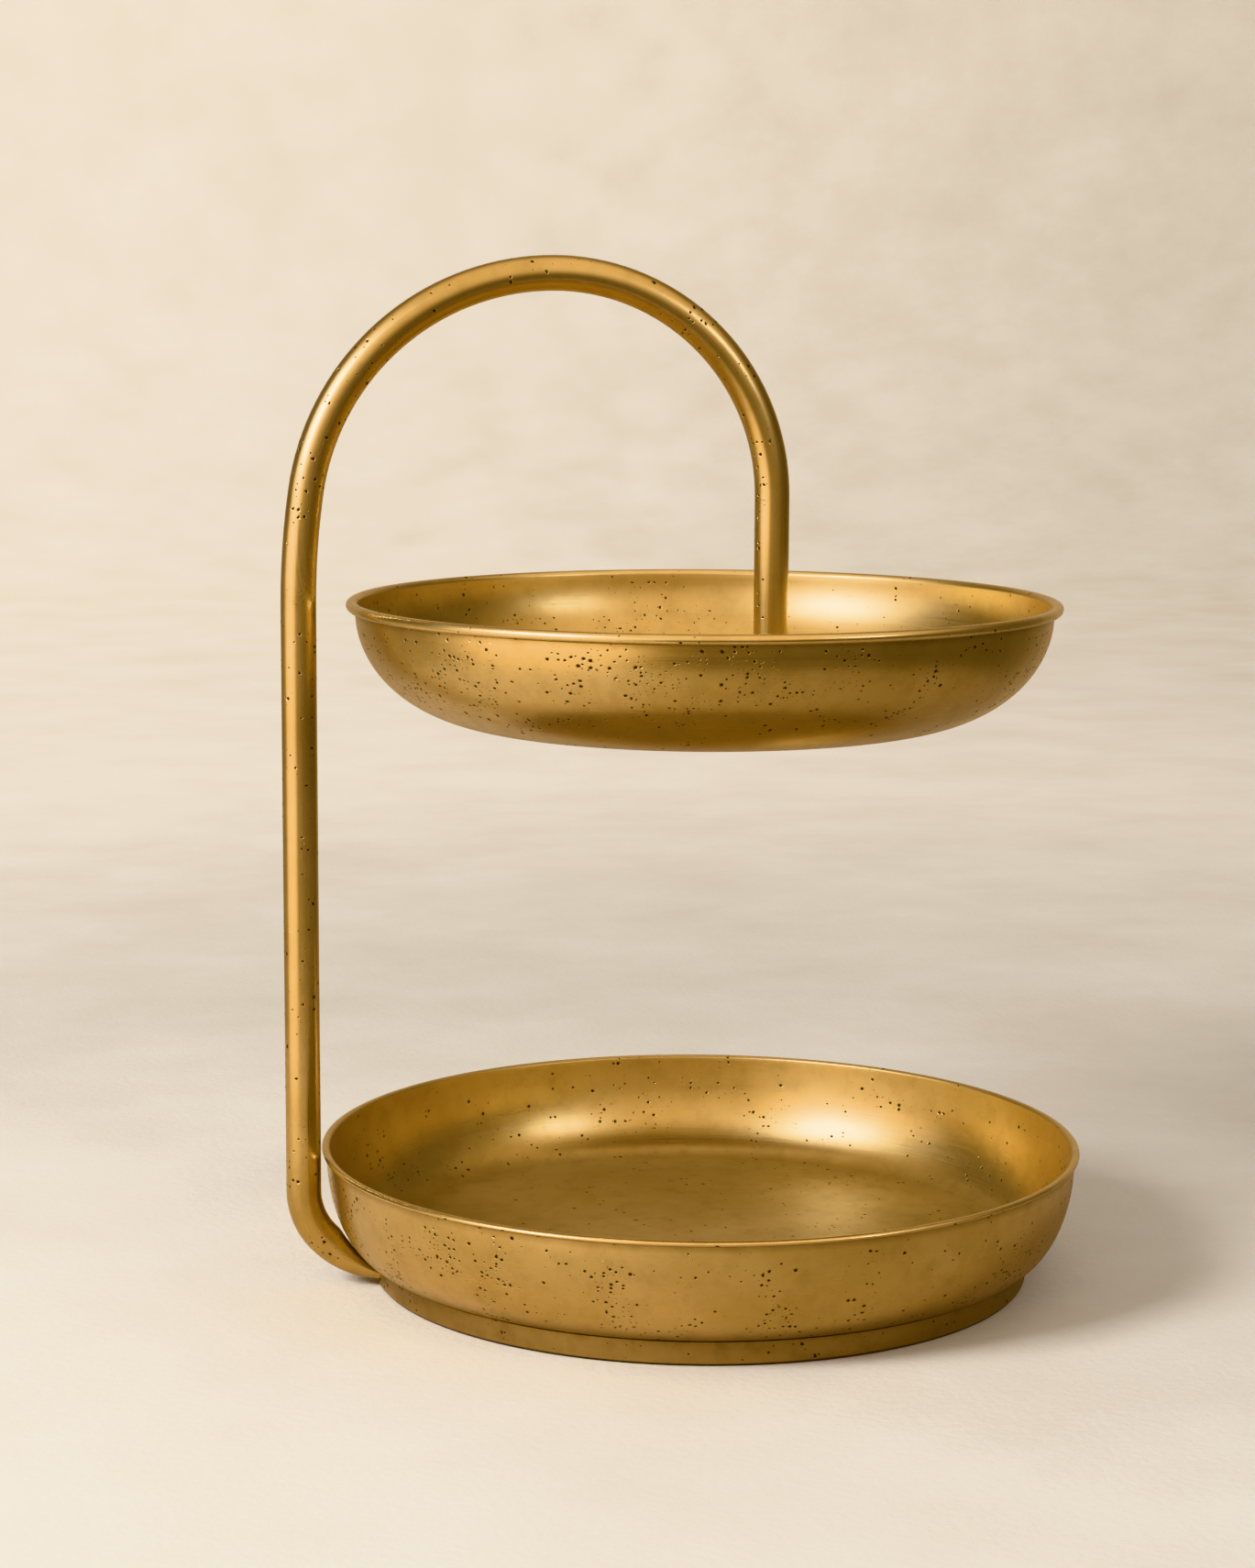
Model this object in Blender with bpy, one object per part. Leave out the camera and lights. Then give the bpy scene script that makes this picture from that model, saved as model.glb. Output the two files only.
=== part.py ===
"""Two-tier dish stand: a bent brass tube carries an upper dish and clamps under a footed lower dish.

Blender 4.5, metres, +Z up. The origin is at the middle of the footprint, on the surface the stand rests on.
The tube lies in the plane y = 0, with the tall leg on the -X side.
"""
import math

import bmesh
import bpy

# dishes
LOWER_RIM_RADIUS = 0.1550
LOWER_RIM_HEIGHT = 0.0530
LOWER_UNDERSIDE = 0.0100
LOWER_FLAT_RADIUS = 0.1322
LOWER_WALL_TOP = 0.0512
LOWER_WALL_RADIUS = 0.1531
LOWER_CURL_HALF_HEIGHT = 0.00115
LOWER_SHEET = 0.0014
UPPER_RIM_RADIUS = 0.1437
UPPER_RIM_HEIGHT = 0.2746
UPPER_UNDERSIDE = 0.2266
UPPER_FLAT_RADIUS = 0.0840
UPPER_WALL_TOP = 0.2722
UPPER_WALL_RADIUS = 0.1400
UPPER_CURL_HALF_HEIGHT = 0.0021
UPPER_SHEET = 0.0010

# foot under the lower dish
FOOT_RADIUS = 0.1338
FOOT_SHEET = 0.0012
FOOT_FLANGE = 0.0098
FELT_THICKNESS = 0.0006
FELT_INSET = 0.0010
FELT_WIDTH = 0.0080

# tube, measured from the axis of the dishes
TUBE_DIAMETER = 0.0140
TUBE_WALL = 0.0012
TUBE_CLEARANCE = 0.0035
LEG_OFFSET = -0.1631
HANG_OFFSET = 0.0276
BASE_BEND_RADIUS = 0.0290
ARCH_TOP = 0.4059
CROWN_RADIUS = 0.0997
DROP_RADIUS = 0.0887
SHOULDER_ANGLE = math.radians(8.4)

# flattened end of the tube, pressed thin to lie under the lower dish
PRESSED_HEIGHT = 0.0043
TONGUE_THICKNESS = 0.0026
TONGUE_END_OFFSET = 0.0050
TONGUE_FLAT_OFFSET = -0.1040
TONGUE_RAMP_LENGTH = 0.0220
PRESS_START = math.radians(48)
PRESS_END = math.radians(90)
PRESS_EASING = 1.3

# fasteners, all M4
GAP = 0.0003
SCREW_RADIUS = 0.0020
CLEARANCE_RADIUS = 0.00235
STUD_OFFSETS = (-0.0950, -0.0200)
STUD_FLANGE_RADIUS = 0.0060
WASHER_RADIUS = 0.0060
WASHER_THICKNESS = 0.0008
THIN_NUT_WIDTH = 0.0070
THIN_NUT_HEIGHT = 0.0022
STUD_OVERHANG = 0.0004
SEAT_RADIUS = 0.0092
SEAT_THICKNESS = 0.0010
LOAD_WASHER_RADIUS = 0.0140
LOAD_WASHER_THICKNESS = 0.0012
SCREW_HEAD_RADIUS = 0.0040
SCREW_HEAD_HEIGHT = 0.0024
SCREW_REACH = 0.0120
HEX_KEY_WIDTH = 0.0025
HEX_KEY_DEPTH = 0.0013
PLUG_LENGTH = 0.0160

# mesh density, and how far a cutter reaches past what it cuts
DISH_SEGMENTS = 64
SMALL_SEGMENTS = 20
TUBE_SIDES = 20
BEND_STEP = math.radians(7.5)
MERGE_DISTANCE = 0.00001
SHARP_ANGLE = math.radians(35)
CUT_MARGIN = 0.0010

# colours: linear red, green, blue
BRASS = (0.52, 0.33, 0.085)
DARK_BRASS = (0.40, 0.25, 0.07)
ZINC = (0.55, 0.54, 0.50)
FELT_BROWN = (0.055, 0.035, 0.022)

# the dishes stand off centre, because the tube adds to the footprint on one side
DISH_AXIS = (TUBE_DIAMETER / 2 - LEG_OFFSET - LOWER_RIM_RADIUS) / 2


def clearScene():
    for item in list(bpy.data.objects):
        bpy.data.objects.remove(item, do_unlink=True)


def makeMaterial(name, colour, roughness, metallic):
    material = bpy.data.materials.new(name)
    material.use_nodes = True
    shader = material.node_tree.nodes["Principled BSDF"]
    shader.inputs["Base Color"].default_value = (*colour, 1.0)
    shader.inputs["Roughness"].default_value = roughness
    shader.inputs["Metallic"].default_value = metallic
    return material


def finishMesh(name, bm, material, offset):
    """Turns a bmesh into a named object, placed by its distance from the axis of the dishes."""
    bmesh.ops.recalc_face_normals(bm, faces=bm.faces)
    mesh = bpy.data.meshes.new(name)
    bm.to_mesh(mesh)
    bm.free()
    mesh.shade_smooth()
    mesh.set_sharp_from_angle(angle=SHARP_ANGLE)
    mesh.materials.append(material)
    thing = bpy.data.objects.new(name, mesh)
    thing.location.x = DISH_AXIS + offset
    bpy.context.scene.collection.objects.link(thing)
    return thing


def turnedBody(name, outline, segments, material, offset=0.0, closed=False):
    """Spins an outline of (radius, height) points about its own axis into one solid."""
    bm = bmesh.new()
    points = [bm.verts.new((radius, 0.0, height)) for radius, height in outline]
    pairs = list(zip(points, points[1:]))
    if closed:
        pairs.append((points[-1], points[0]))
    edges = [bm.edges.new(pair) for pair in pairs]
    bmesh.ops.spin(
        bm, geom=points + edges, axis=(0, 0, 1), cent=(0, 0, 0),
        angle=2 * math.pi, steps=segments, use_merge=True,
    )
    bmesh.ops.remove_doubles(bm, verts=bm.verts, dist=MERGE_DISTANCE)
    return finishMesh(name, bm, material, offset)


def ellipseArc(centre, halfSize, start, end, steps):
    """Points on an ellipse between two angles, counted from +X towards +Z."""
    angles = [start + (end - start) * i / steps for i in range(steps + 1)]
    return [
        (centre[0] + halfSize[0] * math.cos(angle), centre[1] + halfSize[1] * math.sin(angle))
        for angle in angles
    ]


def smoothStep(value):
    value = min(max(value, 0.0), 1.0)
    return value * value * (3 - 2 * value)


def cutHole(target, radius, offset, low, high, corners=SMALL_SEGMENTS):
    """Cuts an upright hole with an exact Boolean. Its cutter stays in the file as a wire guide."""
    bm = bmesh.new()
    bmesh.ops.create_cone(
        bm, cap_ends=True, segments=corners, radius1=radius, radius2=radius, depth=high - low,
    )
    bmesh.ops.translate(bm, verts=bm.verts, vec=(0, 0, (high + low) / 2))
    addCutter(target, bm, offset)


def addCutter(target, bm, offset):
    mesh = bpy.data.meshes.new(target.name + "_cutter")
    bm.to_mesh(mesh)
    bm.free()
    cutter = bpy.data.objects.new(mesh.name, mesh)
    cutter.location.x = DISH_AXIS + offset
    cutter.hide_render = True
    cutter.display_type = "WIRE"
    bpy.context.scene.collection.objects.link(cutter)
    cut = target.modifiers.new("cut", "BOOLEAN")
    cut.operation = "DIFFERENCE"
    cut.solver = "EXACT"
    cut.object = cutter


def dishOutline(underside, flatRadius, wallTop, wallRadius, rimRadius, rimHeight, curlHalf, sheet, steps):
    """Section of a spun dish: flat floor, quarter-ellipse wall, rim curled outwards."""
    centre = (flatRadius, wallTop)
    outerHalf = (wallRadius - flatRadius, wallTop - underside)
    innerHalf = (outerHalf[0] - sheet, outerHalf[1] - sheet)
    curlHalfWidth = (rimRadius - wallRadius + sheet) / 2
    curlCentre = (rimRadius - curlHalfWidth, rimHeight)
    curlStart = -math.acos((wallRadius - curlCentre[0]) / curlHalfWidth)
    outline = [(0.0, underside)]
    outline += ellipseArc(centre, outerHalf, -math.pi / 2, 0.0, steps)
    outline += ellipseArc(curlCentre, (curlHalfWidth, curlHalf), curlStart, math.pi, 9)
    outline += ellipseArc(centre, innerHalf, 0.0, -math.pi / 2, steps)
    outline.append((0.0, underside + sheet))
    return outline


def lowerDish(material):
    outline = dishOutline(
        LOWER_UNDERSIDE, LOWER_FLAT_RADIUS, LOWER_WALL_TOP, LOWER_WALL_RADIUS,
        LOWER_RIM_RADIUS, LOWER_RIM_HEIGHT, LOWER_CURL_HALF_HEIGHT, LOWER_SHEET, 6,
    )
    turnedBody("lower_dish", outline, DISH_SEGMENTS, material)


def upperDish(material):
    outline = dishOutline(
        UPPER_UNDERSIDE, UPPER_FLAT_RADIUS, UPPER_WALL_TOP, UPPER_WALL_RADIUS,
        UPPER_RIM_RADIUS, UPPER_RIM_HEIGHT, UPPER_CURL_HALF_HEIGHT, UPPER_SHEET, 8,
    )
    dish = turnedBody("upper_dish", outline, DISH_SEGMENTS, material)
    floor = UPPER_UNDERSIDE + UPPER_SHEET
    cutHole(dish, CLEARANCE_RADIUS, HANG_OFFSET, UPPER_UNDERSIDE - CUT_MARGIN, floor + CUT_MARGIN)


def windowCutter(target, inner, outer, low, high):
    """Box across the foot on the tube's side: the window where the pressed tube passes in."""
    pressedWidth = PRESSED_HEIGHT + math.pi * (TUBE_DIAMETER - PRESSED_HEIGHT) / 2
    bm = bmesh.new()
    bmesh.ops.create_cube(bm, size=1.0)
    size = (outer - inner, pressedWidth + 3 * GAP, high - low)
    bmesh.ops.scale(bm, verts=bm.verts, vec=size)
    bmesh.ops.translate(bm, verts=bm.verts, vec=(0, 0, (high + low) / 2))
    addCutter(target, bm, -(inner + outer) / 2)


def footRing(material):
    """Channel rolled from strip: an upright skirt with a flange at the top and at the bottom."""
    top = LOWER_UNDERSIDE - GAP
    bottom = FELT_THICKNESS + GAP
    inside = FOOT_RADIUS - FOOT_FLANGE
    outline = [
        (inside, bottom),
        (FOOT_RADIUS, bottom),
        (FOOT_RADIUS, top),
        (inside, top),
        (inside, top - FOOT_SHEET),
        (FOOT_RADIUS - FOOT_SHEET, top - FOOT_SHEET),
        (FOOT_RADIUS - FOOT_SHEET, bottom + FOOT_SHEET),
        (inside, bottom + FOOT_SHEET),
    ]
    ring = turnedBody("foot_ring", outline, DISH_SEGMENTS, material, closed=True)
    windowTop = top - FOOT_SHEET - GAP / 3
    windowCutter(ring, inside - CUT_MARGIN, FOOT_RADIUS + CUT_MARGIN, TUBE_CLEARANCE - GAP, windowTop)


def footFeltRing(material):
    outside = FOOT_RADIUS - FELT_INSET
    inside = outside - FELT_WIDTH
    outline = [(inside, 0.0), (outside, 0.0), (outside, FELT_THICKNESS), (inside, FELT_THICKNESS)]
    turnedBody("foot_felt_ring", outline, DISH_SEGMENTS, material, closed=True)


def tongueStations():
    """Flattened end, then the ramp where the press lets the tube open again."""
    top = TUBE_CLEARANCE + PRESSED_HEIGHT
    stations = []
    for offset in (TONGUE_END_OFFSET, TONGUE_FLAT_OFFSET):
        stations.append((offset, top - TONGUE_THICKNESS / 2, math.pi, TONGUE_THICKNESS))
    steps = 6
    for i in range(1, steps + 1):
        share = i / steps
        height = TONGUE_THICKNESS + (PRESSED_HEIGHT - TONGUE_THICKNESS) * smoothStep(share)
        offset = TONGUE_FLAT_OFFSET - TONGUE_RAMP_LENGTH * share
        stations.append((offset, top - height / 2, math.pi, height))
    return stations


def baseBendStations():
    """Quarter bend up to the leg. Its outer side keeps one radius while the inner side is pressed."""
    centre = (LEG_OFFSET + BASE_BEND_RADIUS, TUBE_CLEARANCE + TUBE_DIAMETER / 2 + BASE_BEND_RADIUS)
    outerRadius = BASE_BEND_RADIUS + TUBE_DIAMETER / 2
    steps = round(math.pi / 2 / BEND_STEP)
    stations = []
    for i in range(steps + 1):
        angle = math.pi / 2 * (1 - i / steps)
        pressed = max(angle - PRESS_START, 0) / (PRESS_END - PRESS_START)
        pressed = pressed ** PRESS_EASING
        height = TUBE_DIAMETER - (TUBE_DIAMETER - PRESSED_HEIGHT) * pressed
        radius = outerRadius - height / 2
        x = centre[0] - radius * math.cos(angle)
        z = centre[1] - radius * math.sin(angle)
        stations.append((x, z, math.pi / 2 + angle, height))
    return stations


def archStations():
    """Shoulder, crown and drop: three arcs, each tangent to the next."""
    crownCentre = (HANG_OFFSET - DROP_RADIUS, ARCH_TOP - CROWN_RADIUS)
    overhang = crownCentre[0] - LEG_OFFSET - CROWN_RADIUS
    shoulderRadius = CROWN_RADIUS + overhang / (1 - math.cos(SHOULDER_ANGLE))
    shoulderCentre = (
        LEG_OFFSET + shoulderRadius,
        crownCentre[1] - (shoulderRadius - CROWN_RADIUS) * math.sin(SHOULDER_ANGLE),
    )
    dropCentre = (crownCentre[0], ARCH_TOP - DROP_RADIUS)
    arcs = (
        (shoulderCentre, shoulderRadius, 0.0, SHOULDER_ANGLE),
        (crownCentre, CROWN_RADIUS, SHOULDER_ANGLE, math.pi / 2),
        (dropCentre, DROP_RADIUS, math.pi / 2, math.pi),
    )
    stations = []
    for centre, radius, start, end in arcs:
        steps = max(2, round((end - start) / BEND_STEP))
        first = 0 if not stations else 1
        for i in range(first, steps + 1):
            angle = start + (end - start) * i / steps
            x = centre[0] - radius * math.cos(angle)
            z = centre[1] + radius * math.sin(angle)
            stations.append((x, z, math.pi / 2 - angle, TUBE_DIAMETER))
    return stations


def sectionRing(bm, station, wall):
    """Cross-section of the tube: a circle, or once pressed a slot shape of the same girth."""
    x, z, heading, height = station
    flat = math.pi * (TUBE_DIAMETER - height) / 4
    radius = height / 2 - wall
    ring = []
    for k in range(TUBE_SIDES):
        turn = 2 * math.pi * k / TUBE_SIDES
        side = round(math.sin(turn), 6)
        across = radius * math.sin(turn) + math.copysign(flat, side) * (side != 0)
        outward = radius * math.cos(turn)
        place = (x - outward * math.sin(heading), across, z + outward * math.cos(heading))
        ring.append(bm.verts.new(place))
    return ring


def skinRings(bm, rings):
    for near, far in zip(rings, rings[1:]):
        for k in range(TUBE_SIDES):
            after = (k + 1) % TUBE_SIDES
            bm.faces.new((near[k], near[after], far[after], far[k]))


def frameTube(material):
    """One length of tube: tongue, base bend, tall leg, arch and hanging leg, open at the hanging end."""
    plugEnd = UPPER_UNDERSIDE + UPPER_SHEET + 2 * GAP + SEAT_THICKNESS
    stations = tongueStations() + baseBendStations() + archStations()
    stations.append((HANG_OFFSET, plugEnd, -math.pi / 2, TUBE_DIAMETER))
    boreStart = len(tongueStations()) - 2
    bm = bmesh.new()
    outer = [sectionRing(bm, station, 0.0) for station in stations]
    inner = [sectionRing(bm, station, TUBE_WALL) for station in stations[boreStart:]]
    skinRings(bm, outer)
    skinRings(bm, inner)
    skinRings(bm, [outer[-1], inner[-1]])
    bm.faces.new(outer[0])
    bm.faces.new(inner[0])
    tube = finishMesh("frame_tube", bm, material, 0.0)
    for offset in STUD_OFFSETS:
        cutHole(tube, CLEARANCE_RADIUS, offset, TUBE_CLEARANCE, LOWER_UNDERSIDE)


def turnedRing(name, radius, low, height, offset, material):
    """Washer or plug with the common clearance bore."""
    bore = CLEARANCE_RADIUS
    outline = [(bore, low), (radius, low), (radius, low + height), (bore, low + height)]
    turnedBody(name, outline, SMALL_SEGMENTS, material, offset, closed=True)


def hexNut(name, low, height, offset, material):
    """Plain hexagon with a clearance bore."""
    bm = bmesh.new()
    corner = THIN_NUT_WIDTH / math.sqrt(3)
    bmesh.ops.create_cone(bm, cap_ends=True, segments=6, radius1=corner, radius2=corner, depth=height)
    bmesh.ops.translate(bm, verts=bm.verts, vec=(0, 0, low + height / 2))
    nut = finishMesh(name, bm, material, offset)
    cutHole(nut, CLEARANCE_RADIUS, offset, low - CUT_MARGIN, low + height + CUT_MARGIN)


def baseFasteners(brass, zinc):
    """Two studs brazed under the lower dish hold the tongue with a washer and a thin nut each."""
    tongueTop = TUBE_CLEARANCE + PRESSED_HEIGHT
    washerLow = tongueTop - TONGUE_THICKNESS - GAP - WASHER_THICKNESS
    nutLow = washerLow - GAP - THIN_NUT_HEIGHT
    studLow = nutLow - STUD_OVERHANG
    flangeLow = tongueTop + GAP
    flangeTop = LOWER_UNDERSIDE - GAP
    studOutline = [
        (0.0, studLow),
        (SCREW_RADIUS, studLow),
        (SCREW_RADIUS, flangeLow),
        (STUD_FLANGE_RADIUS, flangeLow),
        (STUD_FLANGE_RADIUS, flangeTop),
        (0.0, flangeTop),
    ]
    for number, offset in enumerate(STUD_OFFSETS, start=1):
        turnedBody(f"weld_stud_{number}", studOutline, SMALL_SEGMENTS, brass, offset)
        washerName = f"base_washer_{number}"
        turnedRing(washerName, WASHER_RADIUS, washerLow, WASHER_THICKNESS, offset, zinc)
        hexNut(f"base_nut_{number}", nutLow, THIN_NUT_HEIGHT, offset, zinc)


def upperDishFasteners(brass, zinc):
    """Seat washer on the dish, threaded plug in the tube, domed screw and broad washer below."""
    floor = UPPER_UNDERSIDE + UPPER_SHEET
    seatLow = floor + GAP
    plugLow = seatLow + SEAT_THICKNESS + GAP
    turnedRing("seat_washer", SEAT_RADIUS, seatLow, SEAT_THICKNESS, HANG_OFFSET, brass)

    plugRadius = TUBE_DIAMETER / 2 - TUBE_WALL - GAP
    turnedRing("hanging_end_plug", plugRadius, plugLow, PLUG_LENGTH, HANG_OFFSET, brass)

    loadWasherLow = UPPER_UNDERSIDE - GAP - LOAD_WASHER_THICKNESS
    turnedRing(
        "load_washer", LOAD_WASHER_RADIUS, loadWasherLow, LOAD_WASHER_THICKNESS, HANG_OFFSET, brass,
    )

    headTop = loadWasherLow - GAP
    dome = ellipseArc((0.0, headTop), (SCREW_HEAD_RADIUS, SCREW_HEAD_HEIGHT), -math.pi / 2, 0.0, 5)
    shank = [(SCREW_RADIUS, headTop), (SCREW_RADIUS, plugLow + SCREW_REACH), (0.0, plugLow + SCREW_REACH)]
    screw = turnedBody("dish_screw", dome + shank, SMALL_SEGMENTS, zinc, HANG_OFFSET)
    keyCorner = HEX_KEY_WIDTH / math.sqrt(3)
    headLow = headTop - SCREW_HEAD_HEIGHT
    cutHole(screw, keyCorner, HANG_OFFSET, headLow - CUT_MARGIN, headLow + HEX_KEY_DEPTH, corners=6)


def buildStand():
    clearScene()
    dishBrass = makeMaterial("spun_brass", BRASS, 0.32, 1.0)
    tubeBrass = makeMaterial("drawn_brass", BRASS, 0.28, 1.0)
    footBrass = makeMaterial("foot_brass", DARK_BRASS, 0.36, 1.0)
    turnedBrass = makeMaterial("turned_brass", BRASS, 0.30, 1.0)
    zincSteel = makeMaterial("zinc_steel", ZINC, 0.38, 1.0)
    felt = makeMaterial("felt", FELT_BROWN, 0.95, 0.0)
    lowerDish(dishBrass)
    upperDish(dishBrass)
    footRing(footBrass)
    footFeltRing(felt)
    frameTube(tubeBrass)
    baseFasteners(turnedBrass, zincSteel)
    upperDishFasteners(turnedBrass, zincSteel)


buildStand()
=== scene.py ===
import math

import bmesh
import bpy
from mathutils import Matrix, Vector


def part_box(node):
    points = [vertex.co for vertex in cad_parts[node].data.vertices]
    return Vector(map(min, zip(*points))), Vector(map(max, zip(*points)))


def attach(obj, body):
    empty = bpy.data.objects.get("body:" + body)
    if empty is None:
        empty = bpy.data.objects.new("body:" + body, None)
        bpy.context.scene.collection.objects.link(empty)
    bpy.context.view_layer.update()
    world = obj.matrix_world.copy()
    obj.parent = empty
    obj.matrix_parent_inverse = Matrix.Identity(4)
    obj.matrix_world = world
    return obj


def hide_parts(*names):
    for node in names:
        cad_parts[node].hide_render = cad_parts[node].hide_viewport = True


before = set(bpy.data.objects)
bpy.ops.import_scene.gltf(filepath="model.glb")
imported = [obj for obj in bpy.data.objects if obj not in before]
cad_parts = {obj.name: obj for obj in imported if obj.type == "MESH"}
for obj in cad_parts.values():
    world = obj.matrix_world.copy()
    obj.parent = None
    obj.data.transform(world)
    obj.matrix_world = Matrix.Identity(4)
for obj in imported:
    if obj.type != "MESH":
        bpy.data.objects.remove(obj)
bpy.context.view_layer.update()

mm = 0.001
quarter = math.pi / 2


# colours are written as sRGB hex values and used as linear ones
def linear(hexText):
    channels = [int(hexText[i:i + 2], 16) / 255 for i in (1, 3, 5)]
    return tuple(c / 12.92 if c <= 0.04045 else ((c + 0.055) / 1.055) ** 2.4 for c in channels) + (1.0,)


# adds a node: settings are its properties or its sockets' values, links are its sockets' sources
def addNode(tree, kind, settings=None, links=None):
    node = tree.nodes.new(kind)
    for key, value in (settings or {}).items():
        if isinstance(key, str) and hasattr(node, key):
            setattr(node, key, value)
        else:
            node.inputs[key].default_value = value
    for key, source in (links or {}).items():
        tree.links.new(source, node.inputs[key])
    return node


def newMaterial(name):
    material = bpy.data.materials.new(name)
    material.use_nodes = True
    return material, material.node_tree, material.node_tree.nodes["Principled BSDF"]


def nodeMiddle(node):
    low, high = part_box(node)
    return Vector(((low.x + high.x) / 2, (low.y + high.y) / 2, 0))


# the dishes share one upright axis, to one side of the middle of the footprint
lowDish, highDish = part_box("lower_dish")
dishAxis = Vector(((lowDish.x + highDish.x) / 2, 0, 0))


# modelling helpers

def arc(centre, size, start, end, steps):
    turns = [math.radians(start + (end - start) * i / steps) for i in range(steps + 1)]
    return [(centre[0] + size[0] * math.cos(t), centre[1] + size[1] * math.sin(t)) for t in turns]


# a full turn of an outline of (radius, height) points
def spinOutline(outline, steps, closed=False):
    bm = bmesh.new()
    points = [bm.verts.new((radius, 0, height)) for radius, height in outline]
    pairs = list(zip(points, points[1:]))
    if closed:
        pairs.append((points[-1], points[0]))
    edges = [bm.edges.new(pair) for pair in pairs]
    bmesh.ops.spin(bm, geom=points + edges, axis=(0, 0, 1), cent=(0, 0, 0),
                   angle=2 * math.pi, steps=steps, use_merge=True)
    bmesh.ops.remove_doubles(bm, verts=bm.verts, dist=0.002 * mm)
    bmesh.ops.recalc_face_normals(bm, faces=bm.faces)
    return bm


# makes the finished object, with its place in its mesh
def finishPiece(name, bm, material, at=(0, 0, 0), sharp=40):
    bmesh.ops.translate(bm, verts=bm.verts, vec=at)
    mesh = bpy.data.meshes.new(name)
    bm.to_mesh(mesh)
    bm.free()
    mesh.shade_smooth()
    mesh.set_sharp_from_angle(angle=math.radians(sharp))
    mesh.materials.append(material)
    piece = bpy.data.objects.new(name, mesh)
    bpy.context.scene.collection.objects.link(piece)
    return piece


# bakes a piece's modifiers into its mesh
def applyModifiers(piece):
    graph = bpy.context.evaluated_depsgraph_get()
    mesh = bpy.data.meshes.new_from_object(piece.evaluated_get(graph))
    piece.modifiers.clear()
    piece.data = mesh


# cuts a closed bmesh out of a piece, or keeps only what they share
def cutAway(piece, bm, operation="DIFFERENCE"):
    mesh = bpy.data.meshes.new("cutter")
    bm.to_mesh(mesh)
    bm.free()
    cutter = bpy.data.objects.new("cutter", mesh)
    bpy.context.scene.collection.objects.link(cutter)
    cut = piece.modifiers.new("cut", "BOOLEAN")
    cut.operation = operation
    cut.solver = "EXACT"
    cut.object = cutter
    applyModifiers(piece)
    bpy.data.objects.remove(cutter)


# an upright prism between two heights: round with many sides, or a hexagon with six
def upright(radius, low, high, at, sides=48):
    bm = bmesh.new()
    bmesh.ops.create_cone(bm, cap_ends=True, segments=sides, radius1=radius, radius2=radius, depth=high - low)
    bmesh.ops.translate(bm, verts=bm.verts, vec=(at.x, at.y, (low + high) / 2))
    return bm


# stores a number at each point of the mesh, for a material to read
def paint(piece, name, rule):
    layer = piece.data.attributes.new(name, "FLOAT", "POINT")
    for i, vertex in enumerate(piece.data.vertices):
        layer.data[i].value = rule(vertex.co - dishAxis, vertex.normal)


# a map in metres along the surface. The rule gives a face's corner its place, and the distance after
# which the map comes round to the same point again.
def surfaceMap(piece, rule):
    layer = piece.data.uv_layers.new(name="surface")
    points = piece.data.vertices
    for face in piece.data.polygons:
        middle, period = rule(face.center - dishAxis, face.normal)
        for i in face.loop_indices:
            point, _ = rule(points[piece.data.loops[i].vertex_index].co - dishAxis, face.normal)
            if period:
                point = (point[0] - round((point[0] - middle[0]) / period) * period, point[1])
            layer.data[i].uv = point


# flat parts are mapped from above, and walls by the way round the axis and the way up
def turnedRule(radius):
    def rule(p, normal):
        if abs(normal.z) > 0.75:
            return (p.x + 0.5 * math.copysign(1, normal.z), p.y + 3), None
        angle = math.atan2(p.x, -p.y)
        return (angle * radius, math.copysign(1, normal.x * p.x + normal.y * p.y)
                * (p.z + math.hypot(p.x, p.y))), 2 * math.pi * radius
    return rule


def step(low, high, value):      # 0 at low, 1 at high, smooth between
    share = min(max((value - low) / (high - low), 0), 1)
    return share * share * (3 - 2 * share)


# sets the piece's body and hides the CAD node it stands for
def place(piece, node):
    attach(piece, "root")
    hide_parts(node)


# materials

brassValues = {
    "bright": "#cbb584",      # where the metal is clean
    "warm": "#b9a26f",        # where it has yellowed
    "brown": "#69573a",       # thin tarnish, and painted shade
    "wearAndHighlight": "#e4d0a0",        # rubbed edges, and a painted highlight on the rim tops
    "pit": "#33210c",         # oxide in the pits
    "pitSpacing": 2.5 * mm,
    "smallPit": 0.20 * mm,
    "largePit": 1.1 * mm,
    "pitSizes": 2.4,          # a higher power leaves fewer large ones
    "pitDepth": 0.25 * mm,
    "pitWobble": 0.8 * mm,    # keeps them from being quite round
    "wobbleSize": 1.1 * mm,
    "strayPits": 0.055,       # share of places with a pit, away from clusters and chains
    "clusterPits": 0.55,      # and in the thick of a cluster
    "clusterSize": 24 * mm,
    "clusterEdge": (0.50, 0.66),
    "chainPits": 0.95,
    "chainSize": 38 * mm,
    "chainWidth": 0.05,
    "cloudSize": 60 * mm,
    "cloudEdge": (0.38, 0.66),
    "mottleSize": 9 * mm,
    "mottleEdge": (0.48, 0.8),
    "mottleTarnish": 0.25,
    "spunLine": 0.45 * mm,    # real tool lines are near 0.1 mm, too fine to show
    "drawnLine": 0.45 * mm,
    "lineDrift": 40 * mm,
    "lineDepth": 0.05 * mm,
    "turnedLine": 0.2 * mm,
    "lacquer": 0.20,          # thin and patchy, so it only softens the shine
    "lacquerRoughness": 0.3,
    # what each adds to the roughness
    "tarnishAndShadeDull": 0.12,
    "wearAndHighlightDull": -0.08,
    "pitDull": 0.35,
}


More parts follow.
